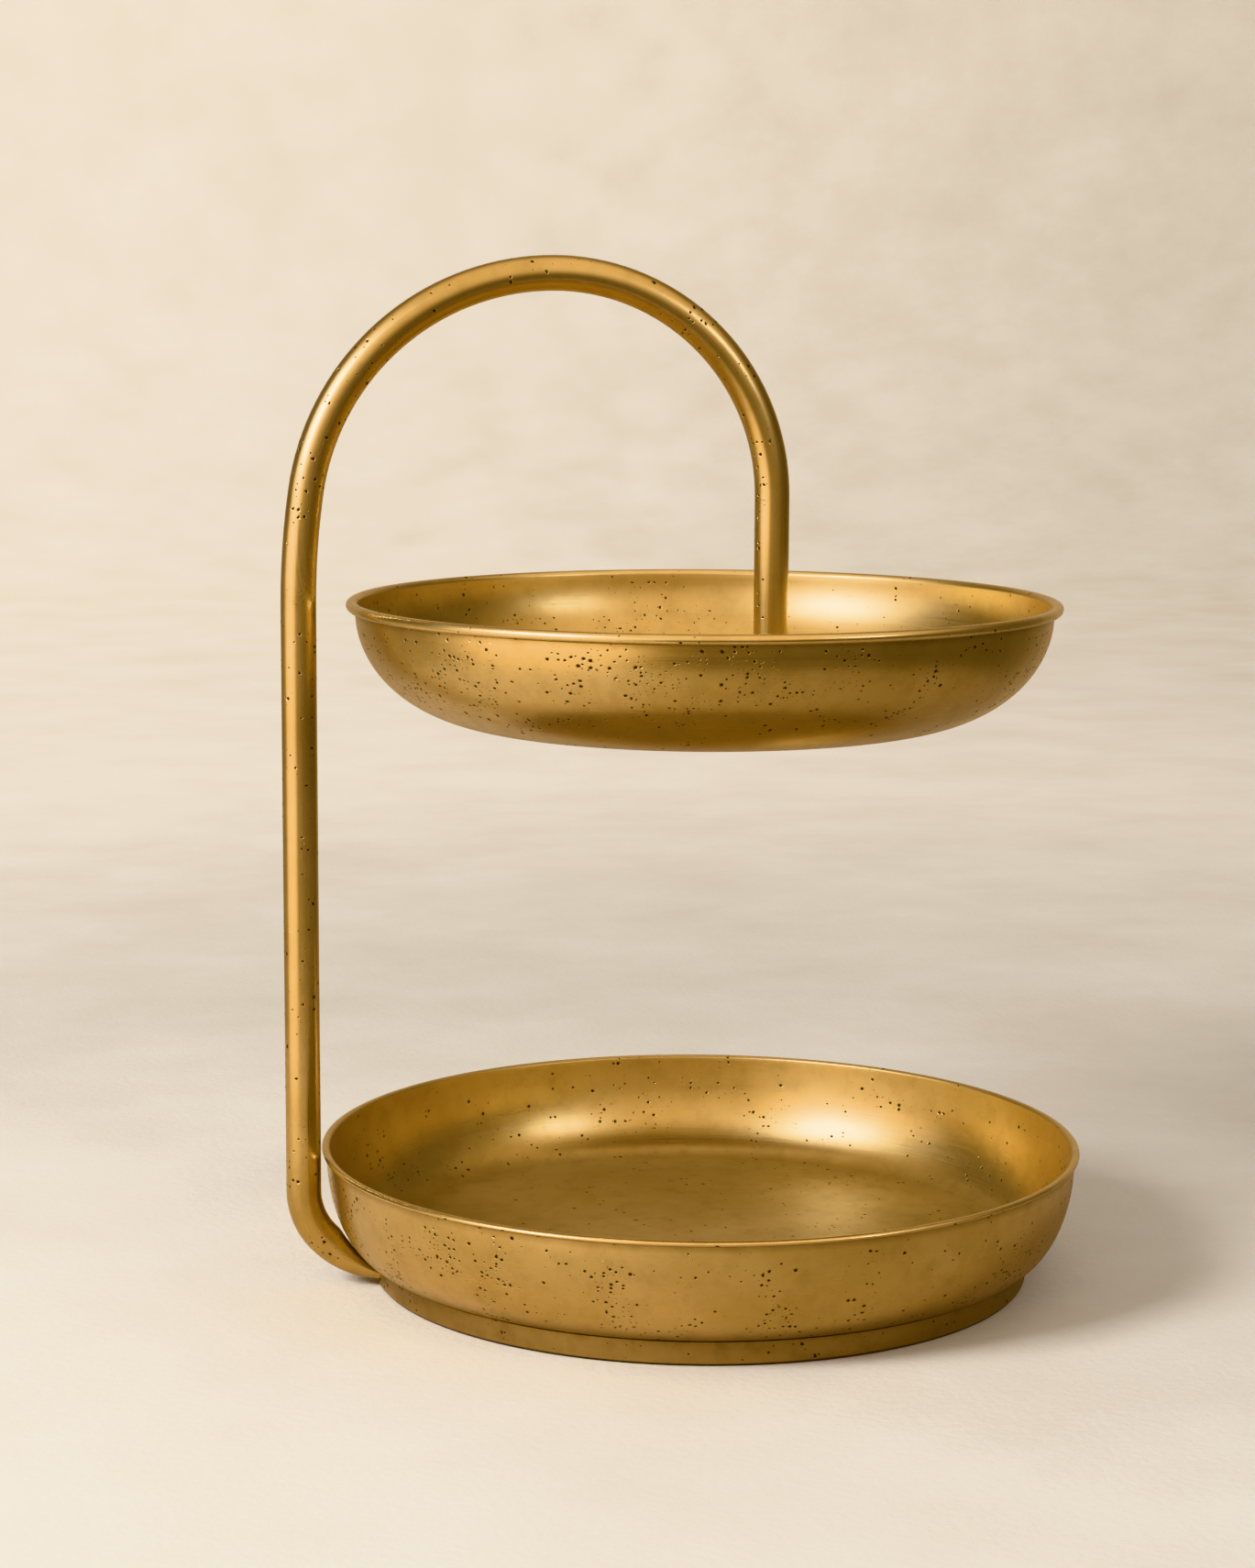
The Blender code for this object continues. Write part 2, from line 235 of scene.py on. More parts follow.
# dark oxide pits in loose chains and clusters, round on the surface. The pitZone attribute says how thick
# they are, and the surface map gives distances along the metal in metres.
def pitMask(tree, position, values, seed):
    spacing = values["pitSpacing"]
    wobbleReach = (values["pitWobble"], values["pitWobble"], 0)
    surface = addNode(tree, "ShaderNodeUVMap", {"uv_map": "surface"}).outputs[0]
    surface = addNode(tree, "ShaderNodeVectorMath", {"operation": "ADD", 1: (seed, 0.7 * seed, 0)},
                      {0: surface}).outputs[0]
    wobble = addNode(tree, "ShaderNodeTexNoise", {"Scale": 1 / values["wobbleSize"], "Detail": 1.0},
                     {"Vector": surface}).outputs["Color"]
    wobble = addNode(tree, "ShaderNodeVectorMath", {"operation": "MULTIPLY_ADD", 1: wobbleReach},
                     {0: wobble, 2: surface}).outputs[0]
    cells = addNode(tree, "ShaderNodeTexVoronoi", {"voronoi_dimensions": "2D", "Scale": 1 / spacing},
                    {"Vector": wobble})
    chance = addNode(tree, "ShaderNodeSeparateColor", None, {0: cells.outputs["Color"]})

    # how likely a pit is at each place
    moved = addNode(tree, "ShaderNodeVectorMath", {"operation": "ADD", 1: (seed, seed, seed)},
                    {0: position}).outputs[0]
    edge = values["clusterEdge"]
    cluster = addNode(tree, "ShaderNodeTexNoise", {"Scale": 1 / values["clusterSize"], "Detail": 2.0},
                      {"Vector": moved}).outputs["Fac"]
    cluster = addNode(tree, "ShaderNodeMapRange", {"From Min": edge[0], "From Max": edge[1],
                                                   "To Max": values["clusterPits"]},
                      {"Value": cluster}).outputs[0]
    chain = addNode(tree, "ShaderNodeTexNoise", {"noise_dimensions": "4D", "W": 3.1, "Detail": 1.0,
                                                 "Scale": 1 / values["chainSize"]},
                    {"Vector": moved}).outputs["Fac"]
    chain = addNode(tree, "ShaderNodeMath", {"operation": "SUBTRACT", 1: 0.5}, {0: chain}).outputs[0]
    chain = addNode(tree, "ShaderNodeMath", {"operation": "ABSOLUTE"}, {0: chain}).outputs[0]
    chain = addNode(tree, "ShaderNodeMapRange", {"From Max": values["chainWidth"],
                                                 "To Min": values["chainPits"], "To Max": 0.0},
                    {"Value": chain}).outputs[0]
    thick = addNode(tree, "ShaderNodeMath", {"operation": "ADD"}, {0: cluster, 1: chain}).outputs[0]
    thick = addNode(tree, "ShaderNodeMath", {"operation": "ADD", 1: values["strayPits"]},
                    {0: thick}).outputs[0]
    zone = addNode(tree, "ShaderNodeAttribute", {"attribute_name": "pitZone"}).outputs["Fac"]
    thick = addNode(tree, "ShaderNodeMath", {"operation": "MULTIPLY"}, {0: thick, 1: zone}).outputs[0]
    chosen = addNode(tree, "ShaderNodeMath", {"operation": "LESS_THAN"},
                     {0: chance.outputs[1], 1: thick}).outputs[0]

    # soft-edged dots of mixed sizes
    size = addNode(tree, "ShaderNodeMath", {"operation": "POWER", 1: values["pitSizes"]},
                   {0: chance.outputs[0]}).outputs[0]
    size = addNode(tree, "ShaderNodeMapRange", {"To Min": values["smallPit"] / spacing,
                                                "To Max": values["largePit"] / spacing},
                   {"Value": size}).outputs[0]
    inner = addNode(tree, "ShaderNodeMath", {"operation": "MULTIPLY", 1: 0.5}, {0: size}).outputs[0]
    dot = addNode(tree, "ShaderNodeMapRange", {"To Min": 1.0, "To Max": 0.0},
                  {"Value": cells.outputs["Distance"], "From Min": inner, "From Max": size}).outputs[0]
    return addNode(tree, "ShaderNodeMath", {"operation": "MULTIPLY"}, {0: dot, 1: chosen}).outputs[0]


# aged brass with a satin finish: soft broad reflections, brown pits, fine tool lines that blur the shine
# one way, faint yellow and brown clouds, painted shade in brown from a mesh attribute, and rubbed edges that
# also serve as a painted highlight on the rim tops. The lines follow the given coordinate.
def agedBrass(name, values, lineVector, seed, roughness, dark=0.0):
    material, tree, shader = newMaterial(name)
    position = addNode(tree, "ShaderNodeTexCoord").outputs["Object"]

    clouds = addNode(tree, "ShaderNodeTexNoise", {"Scale": 1 / values["cloudSize"], "Detail": 4.0,
                                                  "Roughness": 0.6}, {"Vector": position}).outputs["Fac"]
    clouds = addNode(tree, "ShaderNodeMapRange", {"From Min": values["cloudEdge"][0],
                                                  "From Max": values["cloudEdge"][1]},
                     {"Value": clouds}).outputs[0]
    base = addNode(tree, "ShaderNodeMix", {"data_type": "RGBA", 6: linear(values["bright"]),
                                           7: linear(values["warm"])}, {0: clouds}).outputs[2]

    # painted shade: a mesh attribute darkens the metal towards brown and dulls it
    paintedShade = addNode(tree, "ShaderNodeAttribute", {"attribute_name": "paintedShade"}).outputs["Fac"]
    mottle = addNode(tree, "ShaderNodeTexNoise", {"Scale": 1 / values["mottleSize"], "Detail": 5.0,
                                                  "Roughness": 0.65}, {"Vector": position}).outputs["Fac"]
    tarnishAndShade = addNode(tree, "ShaderNodeMapRange", {"From Min": values["mottleEdge"][0],
                                                   "From Max": values["mottleEdge"][1], "To Min": dark,
                                                   "To Max": dark + values["mottleTarnish"]},
                      {"Value": mottle}).outputs[0]
    # the random tarnish and the painted shade together
    tarnishAndShade = addNode(tree, "ShaderNodeMath", {"operation": "ADD", "use_clamp": True},
                      {0: tarnishAndShade, 1: paintedShade}).outputs[0]
    base = addNode(tree, "ShaderNodeMix", {"data_type": "RGBA", 7: linear(values["brown"])},
                   {0: tarnishAndShade, 6: base}).outputs[2]

    # painted highlight along the rim tops, patchy like rubbed wear: paler and less rough
    wearAndHighlight = addNode(tree, "ShaderNodeAttribute", {"attribute_name": "wearAndHighlight"}).outputs["Fac"]
    patchy = addNode(tree, "ShaderNodeMapRange", {"From Min": 0.4, "From Max": 0.6, "To Min": 0.45,
                                                  "To Max": 1.0}, {"Value": mottle}).outputs[0]
    wearAndHighlight = addNode(tree, "ShaderNodeMath", {"operation": "MULTIPLY"}, {0: wearAndHighlight, 1: patchy}).outputs[0]
    base = addNode(tree, "ShaderNodeMix", {"data_type": "RGBA", 7: linear(values["wearAndHighlight"])},
                   {0: wearAndHighlight, 6: base}).outputs[2]

    pits = pitMask(tree, position, values, seed)
    base = addNode(tree, "ShaderNodeMix", {"data_type": "RGBA", 7: linear(values["pit"])},
                   {0: pits, 6: base}).outputs[2]
    tree.links.new(base, shader.inputs["Base Color"])

    lines = addNode(tree, "ShaderNodeTexNoise", {"Scale": 1.0, "Detail": 3.0, "Roughness": 0.7},
                    {"Vector": lineVector(tree)}).outputs["Fac"]
    dull = addNode(tree, "ShaderNodeMapRange", {"From Min": 0.3, "From Max": 0.7, "To Min": roughness - 0.04,
                                                "To Max": roughness + 0.05}, {"Value": lines}).outputs[0]
    scuff = addNode(tree, "ShaderNodeAttribute", {"attribute_name": "scuff"}).outputs["Fac"]
    for amount, source in ((values["tarnishAndShadeDull"], tarnishAndShade), (1.0, scuff), (values["wearAndHighlightDull"], wearAndHighlight),
                           (values["pitDull"], pits)):
        dull = addNode(tree, "ShaderNodeMath", {"operation": "MULTIPLY_ADD", 1: amount},
                       {0: source, 2: dull}).outputs[0]
    tree.links.new(dull, shader.inputs["Roughness"])

    toolMarks = addNode(tree, "ShaderNodeBump", {"Strength": 0.08, "Distance": values["lineDepth"]},
                        {"Height": lines})
    hollows = addNode(tree, "ShaderNodeBump", {"Strength": 0.7, "Distance": values["pitDepth"],
                                               "invert": True},
                      {"Height": pits, "Normal": toolMarks.outputs[0]})
    tree.links.new(hollows.outputs[0], shader.inputs["Normal"])
    shader.inputs["Metallic"].default_value = 1.0
    shader.inputs["Coat Weight"].default_value = values["lacquer"]
    shader.inputs["Coat Roughness"].default_value = values["lacquerRoughness"]
    return material


# lathe lines run round the axis of the dishes: the pattern is fine across the section, long round the turn
def spunLines(tree):
    position = addNode(tree, "ShaderNodeTexCoord").outputs["Object"]
    centred = addNode(tree, "ShaderNodeMapping", {"Location": -dishAxis}, {"Vector": position}).outputs[0]
    flat = addNode(tree, "ShaderNodeVectorMath", {"operation": "MULTIPLY", 1: (1, 1, 0)},
                   {0: centred}).outputs[0]
    radius = addNode(tree, "ShaderNodeVectorMath", {"operation": "LENGTH"}, {0: flat}).outputs["Value"]
    height = addNode(tree, "ShaderNodeSeparateXYZ", None, {0: centred}).outputs["Z"]
    across = addNode(tree, "ShaderNodeCombineXYZ", None, {"X": radius, "Z": height}).outputs[0]
    fine = addNode(tree, "ShaderNodeVectorMath", {"operation": "SCALE", "Scale": 1 / brassValues["spunLine"]},
                   {0: across}).outputs[0]
    drift = addNode(tree, "ShaderNodeVectorMath", {"operation": "SCALE",
                                                   "Scale": 1 / brassValues["lineDrift"]},
                    {0: centred}).outputs[0]
    return addNode(tree, "ShaderNodeVectorMath", {"operation": "ADD"}, {0: fine, 1: drift}).outputs[0]


# drawing and brushing leave lines along the tube, which its own attribute follows round the bends
def drawnLines(tree):
    return addNode(tree, "ShaderNodeAttribute", {"attribute_name": "drawn"}).outputs["Vector"]


spunBrass = agedBrass("aged_spun_brass", brassValues, spunLines, 0.0, 0.30)
# the foot's copy is darker all over (dark=0.30) as painted shade, for the shadowed floor it reflects under
# the lower dish
footBrass = agedBrass("shaded_aged_rolled_brass", brassValues, spunLines, 0.53, 0.34, dark=0.30)
tubeBrass = agedBrass("aged_drawn_brass", brassValues, drawnLines, 1.27, 0.29)


# small turned pieces have lines round them, one above another
def turnedLines(tree):
    position = addNode(tree, "ShaderNodeTexCoord").outputs["Object"]
    squeeze = (60, 60, 1 / brassValues["turnedLine"])
    return addNode(tree, "ShaderNodeVectorMath", {"operation": "MULTIPLY", 1: squeeze},
                   {0: position}).outputs[0]


turnedBrass = agedBrass("aged_turned_brass", brassValues, turnedLines, 2.31, 0.32, dark=0.15)

zincValues = {
    "clear": "#c3c6c4",
    "yellowed": "#b8b29c",
    "roughness": 0.34,
    "crystal": 0.8 * mm,
    "cloudSize": 4 * mm,
}


# zinc plate, dipped: pale grey metal, faintly clouded yellow, with a fine broken shine
def zincPlate(values):
    material, tree, shader = newMaterial("zinc_plated_steel")
    position = addNode(tree, "ShaderNodeTexCoord").outputs["Object"]
    cloud = addNode(tree, "ShaderNodeTexNoise", {"Scale": 1 / values["cloudSize"], "Detail": 3.0},
                    {"Vector": position}).outputs["Fac"]
    colour = addNode(tree, "ShaderNodeMix", {"data_type": "RGBA", 6: linear(values["clear"]),
                                             7: linear(values["yellowed"])}, {0: cloud}).outputs[2]
    tree.links.new(colour, shader.inputs["Base Color"])
    crystal = addNode(tree, "ShaderNodeTexNoise", {"Scale": 1 / values["crystal"], "Detail": 2.0},
                      {"Vector": position}).outputs["Fac"]
    dull = addNode(tree, "ShaderNodeMapRange", {"From Min": 0.3, "From Max": 0.7,
                                                "To Min": values["roughness"] - 0.06,
                                                "To Max": values["roughness"] + 0.08},
                   {"Value": crystal}).outputs[0]
    tree.links.new(dull, shader.inputs["Roughness"])
    shader.inputs["Metallic"].default_value = 1.0
    return material


feltValues = {
    "dark": "#35281d",
    "light": "#5a4734",
    "fibre": 0.35 * mm,
    "fluff": 0.25 * mm,
    "bendSize": 2 * mm,
    "bendReach": 3 * mm,
}


# pressed wool felt: matt brown, with short fibres lying every way
def brownFelt(values):
    material, tree, shader = newMaterial("pressed_wool_felt")
    position = addNode(tree, "ShaderNodeTexCoord").outputs["Object"]
    reach = (values["bendReach"],) * 3
    bent = addNode(tree, "ShaderNodeTexNoise", {"Scale": 1 / values["bendSize"], "Detail": 2.0},
                   {"Vector": position}).outputs["Color"]
    bent = addNode(tree, "ShaderNodeVectorMath", {"operation": "MULTIPLY_ADD", 1: reach},
                   {0: bent, 2: position}).outputs[0]
    fibre = addNode(tree, "ShaderNodeTexNoise", {"Scale": 1 / values["fibre"], "Detail": 3.0,
                                                 "Roughness": 0.7}, {"Vector": bent}).outputs["Fac"]
    tone = addNode(tree, "ShaderNodeMapRange", {"From Min": 0.3, "From Max": 0.7},
                   {"Value": fibre}).outputs[0]
    colour = addNode(tree, "ShaderNodeMix", {"data_type": "RGBA", 6: linear(values["dark"]),
                                             7: linear(values["light"])}, {0: tone}).outputs[2]
    tree.links.new(colour, shader.inputs["Base Color"])
    bump = addNode(tree, "ShaderNodeBump", {"Strength": 0.8, "Distance": values["fluff"]}, {"Height": fibre})
    tree.links.new(bump.outputs[0], shader.inputs["Normal"])
    shader.inputs["Roughness"].default_value = 0.95
    shader.inputs["Sheen Weight"].default_value = 0.3
    return material


zinc = zincPlate(zincValues)
felt = brownFelt(feltValues)
print("materials made")


# dishes

upperValues = {
    "flatRadius": 84.0 * mm,
    "wallRadius": 140.0 * mm,
    "wallTop": 272.2 * mm,
    "sheet": 1.0 * mm,
    "curlHalfHeight": 2.1 * mm,
    "curlEnd": -112,
    "pitBand": (238 * mm, 270 * mm),
    "insidePits": 0.45,       # pits inside, as a share of those outside
    "floorEdgeShade": 0.10,       # painted shade towards the edge of the flat floor, so its reflection looks brightest in the middle
    "scuff": 0.06,            # how much duller the flat floor is
    "rimScuff": 0.06,         # and the top of the wall inside
    "footShade": 0.1,         # painted shade where the underside turns in towards the foot
}
lowerValues = {
    "flatRadius": 132.2 * mm,
    "wallRadius": 153.1 * mm,
    "wallTop": 51.2 * mm,
    "sheet": 1.4 * mm,
    "curlHalfHeight": 1.15 * mm,
    "curlEnd": None,
    "pitBand": (14 * mm, 44 * mm),
    "insidePits": 0.33,
    "floorEdgeShade": 0.34,
    "scuff": 0.26,
    "rimScuff": 0.12,
    "footShade": 0.6,
}


def dishOutline(node, values):
    low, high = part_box(node)
    rimRadius = (high.x - low.x) / 2
    centre = (values["flatRadius"], values["wallTop"])
    outer = (values["wallRadius"] - centre[0], centre[1] - low.z)
    inner = (outer[0] - values["sheet"], outer[1] - values["sheet"])
    halfWidth = (rimRadius - values["wallRadius"] + values["sheet"]) / 2
    curl = (rimRadius - halfWidth, high.z - values["curlHalfHeight"])
    curlSize = (halfWidth, values["curlHalfHeight"])
    outline = [(0, low.z)]
    outline += arc(centre, outer, -90, 0, 30)
    if values["curlEnd"] is None:
        # the sheet is folded flat on itself, so the rim is solid
        start = -math.degrees(math.acos((values["wallRadius"] - curl[0]) / halfWidth))
        outline += arc(curl, curlSize, start, 180, 26)
    else:
        # an open curl: the hollow inside it first, then round its outside
        hollow = (halfWidth - values["sheet"], values["curlHalfHeight"] - values["sheet"])
        outline += arc(curl, hollow, 180, values["curlEnd"], 22)
        outline += arc(curl, curlSize, values["curlEnd"], 180, 26)
    outline += arc(centre, inner, 0, -90, 30)
    outline.append((0, low.z + values["sheet"]))
    return outline


def makeDish(node, values):
    dish = finishPiece(node + "_spun", spinOutline(dishOutline(node, values), 192), spunBrass, dishAxis)
    low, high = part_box(node)
    radius = (high.x - low.x) / 2
    bandLow, bandHigh = values["pitBand"]
    rim = high.z - 2 * values["curlHalfHeight"]
    flat = low.z + values["sheet"]

    def outward(p, normal):      # -1 facing the axis, 1 facing away from it
        return (normal.x * p.x + normal.y * p.y) / radius

    def pitZone(p, normal):
        share = 0.3 + 0.7 * (step(bandLow - 6 * mm, bandLow + 6 * mm, p.z)
                             * (1 - step(bandHigh - 4 * mm, bandHigh + 4 * mm, p.z)))
        return share * (1 if outward(p, normal) > 0 and normal.z < 0.2 else values["insidePits"])

    # painted shade: a dark line under the rim's curl, darkening where the underside turns in, and towards the
    # edge of the flat floor
    def paintedShade(p, normal):
        underRim = step(rim - 3 * mm, rim, p.z) * (1 - step(rim, rim + 1 * mm, p.z))
        turnIn = (1 - step(low.z, low.z + 9 * mm, p.z)) * step(0, 0.5, -normal.z)
        floorEdge = (step(0.25, 0.9, math.hypot(p.x, p.y) / values["flatRadius"])
                     * (1 - step(flat, flat + 6 * mm, p.z)) * step(0, 0.5, normal.z))
        return (0.4 * underRim * step(0, 0.4, outward(p, normal)) + values["footShade"] * turnIn
                + values["floorEdgeShade"] * floorEdge)

    # painted highlight on the top of the rim bead, with rubbed wear
    def wearAndHighlight(p, normal):
        return (0.7 * step(rim + 0.6 * mm, rim + 1.4 * mm, p.z)
                * step(values["wallRadius"] - 2 * mm, values["wallRadius"], math.hypot(p.x, p.y)))

    def scuff(p, normal):
        wallTop = step(rim - 18 * mm, rim - 4 * mm, p.z) * step(0, 0.5, -outward(p, normal))
        return values["scuff"] * (1 - step(flat, flat + 5 * mm, p.z)) + values["rimScuff"] * wallTop

    surfaceMap(dish, turnedRule(radius))
    paint(dish, "pitZone", pitZone)
    paint(dish, "paintedShade", paintedShade)
    paint(dish, "wearAndHighlight", wearAndHighlight)
    paint(dish, "scuff", scuff)
    place(dish, node)


makeDish("upper_dish", upperValues)
makeDish("lower_dish", lowerValues)
print("dishes made")


# foot

footValues = {
    "sheet": 1.2 * mm,
    "feltWidth": 8.0 * mm,
    "edge": 0.5 * mm,
    "flange": 9.8 * mm,
    "windowSlack": 0.9 * mm,
    "pits": 0.35,
}
tubeValues = {
    "diameter": 14.0 * mm,
    "wall": 1.2 * mm,
    "legOffset": -163.1 * mm,
    "hangOffset": 27.6 * mm,
    "bendRadius": 29.0 * mm,
    "crownRadius": 99.7 * mm,
    "dropRadius": 88.7 * mm,
    "shoulderTurn": 8.4,
    "pressedHeight": 4.3 * mm,
    "tongueThickness": 2.6 * mm,
    "tongueEnd": 5.0 * mm,
    "tongueFlat": -104.0 * mm,
    "rampLength": 22.0 * mm,
    "pressTurns": (48, 90),
    "pressEasing": 1.3,
    "holeRadius": 2.35 * mm,
    "sides": 48,
    "drawnLength": 300 * mm,  # how far a drawn line runs before it changes
    "pits": 0.4,
    "paintedShade": 0.35,            # painted shade near the surface it stands on
}


# half the width of the flat part, once a round tube is pressed to this height
def pressedFlat(height):
    return math.pi * (tubeValues["diameter"] - height) / 4


# the window where the pressed tube passes through the foot
def footWindow(inner, outer, low, high):
    width = tubeValues["pressedHeight"] + 2 * pressedFlat(tubeValues["pressedHeight"])
    middle = dishAxis + Vector((-(inner + outer) / 2, 0, (low + high) / 2))
    bm = bmesh.new()
    bmesh.ops.create_cube(bm, size=1.0)
    bmesh.ops.scale(bm, verts=bm.verts, vec=(outer - inner, width + footValues["windowSlack"], high - low))
    bmesh.ops.translate(bm, verts=bm.verts, vec=middle)
    return bm


def makeFoot():
    low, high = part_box("foot_ring")
    radius = (high.x - low.x) / 2
    inside = radius - footValues["flange"]
    sheet = footValues["sheet"]
    outline = [(inside, low.z), (radius, low.z), (radius, high.z), (inside, high.z),
               (inside, high.z - sheet), (radius - sheet, high.z - sheet), (radius - sheet, low.z + sheet),
               (inside, low.z + sheet)]
    bm = spinOutline(outline, 192, closed=True)
    slack = 0.01 * mm
    corner = [e for e in bm.edges if all(abs(v.co.xy.length - radius) < slack for v in e.verts)
              and abs(e.verts[0].co.z - e.verts[1].co.z) < slack]
    bmesh.ops.bevel(bm, geom=corner, offset=footValues["edge"], affect="EDGES", segments=4, profile=0.5,
                    material=-1)
    foot = finishPiece("foot_channel", bm, footBrass, dishAxis)
    cutAway(foot, footWindow(inside - sheet, radius + sheet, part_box("frame_tube")[0].z - 0.3 * mm,
                             high.z - sheet - 0.1 * mm))
    surfaceMap(foot, turnedRule(radius))
    paint(foot, "pitZone", lambda p, normal: footValues["pits"])
    # painted shade in the groove under the dish and just above the floor
    paint(foot, "paintedShade", lambda p, normal: 0.5 * step(high.z - 2.5 * mm, high.z, p.z)
          + 0.2 * (1 - step(0, 3 * mm, p.z)))
    place(foot, "foot_ring")


# carries an open ring of edges straight on
def extrudeRing(bm, ring, move, steps):
    for _ in range(steps):
        grown = bmesh.ops.extrude_edge_only(bm, edges=ring)["geom"]
        ring = [g for g in grown if isinstance(g, bmesh.types.BMEdge)
                and all(v in grown for v in g.verts) and len(g.link_faces) == 1]
        moved = list({v for e in ring for v in e.verts})
        bmesh.ops.translate(bm, verts=moved, vec=Vector(move) / steps)
    return ring


# carries it round a bend in the tube's own plane
def bendRing(bm, ring, centre, angle, steps):
    turned = bmesh.ops.spin(bm, geom=ring, cent=centre, axis=(0, 1, 0), angle=angle, steps=steps)
    return [g for g in turned["geom_last"] if isinstance(g, bmesh.types.BMEdge)]


# the tube is made from its hanging end, over the arch, down the tall leg and in under the lower dish
def makeTube():
    low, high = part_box("frame_tube")
    values = tubeValues
    radius = values["diameter"] / 2
    hang = dishAxis.x + values["hangOffset"]
    leg = dishAxis.x + values["legOffset"]
    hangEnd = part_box("seat_washer")[1].z + 0.3 * mm
    crown = Vector((hang - values["dropRadius"], 0, high.z - radius - values["crownRadius"]))
    drop = Vector((crown.x, 0, high.z - radius - values["dropRadius"]))
    overhang = crown.x - leg - values["crownRadius"]
    turn = math.radians(values["shoulderTurn"])
    shoulderRadius = values["crownRadius"] + overhang / (1 - math.cos(turn))
    shoulder = Vector((leg + shoulderRadius, 0,
                       crown.z - (shoulderRadius - values["crownRadius"]) * math.sin(turn)))
    bend = Vector((leg + values["bendRadius"], 0, low.z + radius + values["bendRadius"]))
    tongueEnd = dishAxis.x + values["tongueEnd"]

    bm = bmesh.new()
    made = bmesh.ops.create_circle(bm, segments=values["sides"], radius=radius)
    bmesh.ops.translate(bm, verts=made["verts"], vec=(hang, 0, hangEnd))
    ring = list({e for v in made["verts"] for e in v.link_edges})

    ring = extrudeRing(bm, ring, (0, 0, drop.z - hangEnd), 12)
    ring = bendRing(bm, ring, drop, -quarter, 36)
    ring = bendRing(bm, ring, crown, -(quarter - turn), 34)
    ring = bendRing(bm, ring, shoulder, -turn, 6)
    ring = extrudeRing(bm, ring, (0, 0, bend.z - shoulder.z), 40)
    ring = bendRing(bm, ring, bend, -quarter, 36)
    extrudeRing(bm, ring, (tongueEnd - bend.x, 0, 0), 60)
    bmesh.ops.recalc_face_normals(bm, faces=bm.faces)

    # the angle round the tube and the length along it
    def roundAndAlong(p):
        if p.z < bend.z and p.x > bend.x:
            outward, along = bend.z - values["bendRadius"] - p.z, bend.x - p.x
        elif p.z < bend.z:
            outward = math.hypot(p.x - bend.x, p.z - bend.z) - values["bendRadius"]
            along = values["bendRadius"] * math.atan2(bend.x - p.x, bend.z - p.z)
        elif p.z < shoulder.z and p.x < crown.x:
            outward, along = leg - p.x, p.z - bend.z + values["bendRadius"] * quarter
        elif p.z < drop.z and p.x > crown.x:
            outward, along = p.x - hang, 1 - p.z
        else:
            middle, size = (crown, values["crownRadius"]) if p.x < crown.x else (drop, values["dropRadius"])
            outward = math.hypot(p.x - middle.x, p.z - middle.z) - size
            along = 0.6 + size * math.atan2(p.x - middle.x, p.z - middle.z)
        return math.atan2(p.y, outward), along

    mapTube(bm, roundAndAlong, radius)
    pressTube(bm, bend, low.z, radius)
    tube = finishPiece("bent_tube", bm, tubeBrass)
    shell = tube.modifiers.new("wall", "SOLIDIFY")
    shell.thickness = values["wall"]
    shell.offset = -1
    applyModifiers(tube)
    for number in ("1", "2"):
        at = nodeMiddle("weld_stud_" + number)
        cutAway(tube, upright(values["holeRadius"], low.z, low.z + 2 * values["pressedHeight"], at))
    place(tube, "frame_tube")


# stores where each point is on the round tube, before it is pressed
def mapTube(bm, roundAndAlong, radius):
    values = tubeValues
    drawn = bm.verts.layers.float_vector.new("drawn")
    zone = bm.verts.layers.float.new("pitZone")
    paintedShade = bm.verts.layers.float.new("paintedShade")
    surface = bm.loops.layers.uv.new("surface")
    line = radius / brassValues["drawnLine"]
    for vertex in bm.verts:
        girth, along = roundAndAlong(vertex.co)
        vertex[drawn] = (line * math.cos(girth), line * math.sin(girth), along / values["drawnLength"])
        vertex[zone] = values["pits"]
        # painted shade on the tube's lowest run, near the floor
        vertex[paintedShade] = values["paintedShade"] * (1 - step(2 * mm, 12 * mm, vertex.co.z))
    for face in bm.faces:
        middle = roundAndAlong(face.calc_center_median())[0]
        for loop in face.loops:
            girth, along = roundAndAlong(loop.vert.co)
            girth -= round((girth - middle) / (2 * math.pi)) * 2 * math.pi
            loop[surface].uv = (girth * radius, along)


# presses the round tube flat towards the tongue, keeping its girth
def pressTube(bm, bend, floor, radius):
    values = tubeValues
    top = floor + values["pressedHeight"]
    pastTongue = dishAxis.x + values["tongueEnd"] + mm
    flatStart = dishAxis.x + values["tongueFlat"]
    first, last = [math.radians(a) for a in values["pressTurns"]]
    for vertex in bm.verts:
        p = vertex.co
        if p.z > bend.z or p.x > pastTongue:
            continue
        if p.x <= bend.x:
            turn = math.atan2(bend.z - p.z, bend.x - p.x)
            away = math.hypot(bend.x - p.x, bend.z - p.z)
            share = (max(turn - first, 0) / (last - first)) ** values["pressEasing"]
            height = 2 * radius - (2 * radius - values["pressedHeight"]) * share
            girth = math.atan2(p.y, away - values["bendRadius"])
            away = values["bendRadius"] + radius - height / 2 + height / 2 * math.cos(girth)
            p.x = bend.x - away * math.cos(turn)
            p.z = bend.z - away * math.sin(turn)
        else:
            share = step(flatStart, flatStart - values["rampLength"], p.x) if p.x < flatStart else 0
            height = values["tongueThickness"] + (values["pressedHeight"] - values["tongueThickness"]) * share
            girth = math.atan2(p.y, floor + radius - p.z)
            p.z = top - height / 2 - height / 2 * math.cos(girth)
        side = 0 if abs(math.sin(girth)) < 0.01 else math.copysign(1, math.sin(girth))
        p.y = side * pressedFlat(height) + height / 2 * math.sin(girth)


makeFoot()
makeTube()
print("foot and tube made")


# fasteners, all M4

